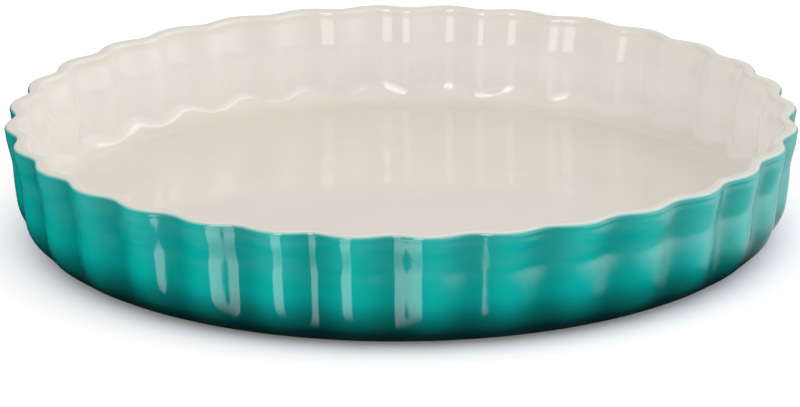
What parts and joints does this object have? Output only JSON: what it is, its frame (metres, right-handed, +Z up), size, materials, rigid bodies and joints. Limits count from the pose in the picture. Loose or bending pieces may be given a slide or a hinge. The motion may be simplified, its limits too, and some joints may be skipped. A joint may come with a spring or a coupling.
{
  "type": "tart pan",
  "caption": "Round fluted tart dish of glazed stoneware with a stepped collar, a flat floor and a bare foot ring.",
  "frame": {"origin": "centre of the foot ring, on the plane the dish stands on", "axes": "+Z up along the axis of the dish, +X through the crest of a flute"},
  "size_m": [0.28, 0.28, 0.043],
  "materials": {
    "stoneware": "bare fired stoneware, matt and slightly gritty",
    "cream_glaze": "glossy cream glaze",
    "teal_glaze": "glossy teal glaze, darker where it pools"
  },
  "bodies": {
    "root": {"stoneware_body": "stoneware", "cream_inner_glaze": "cream_glaze", "teal_outer_glaze": "teal_glaze", "teal_base_glaze": "teal_glaze"}
  },
  "joints": []
}
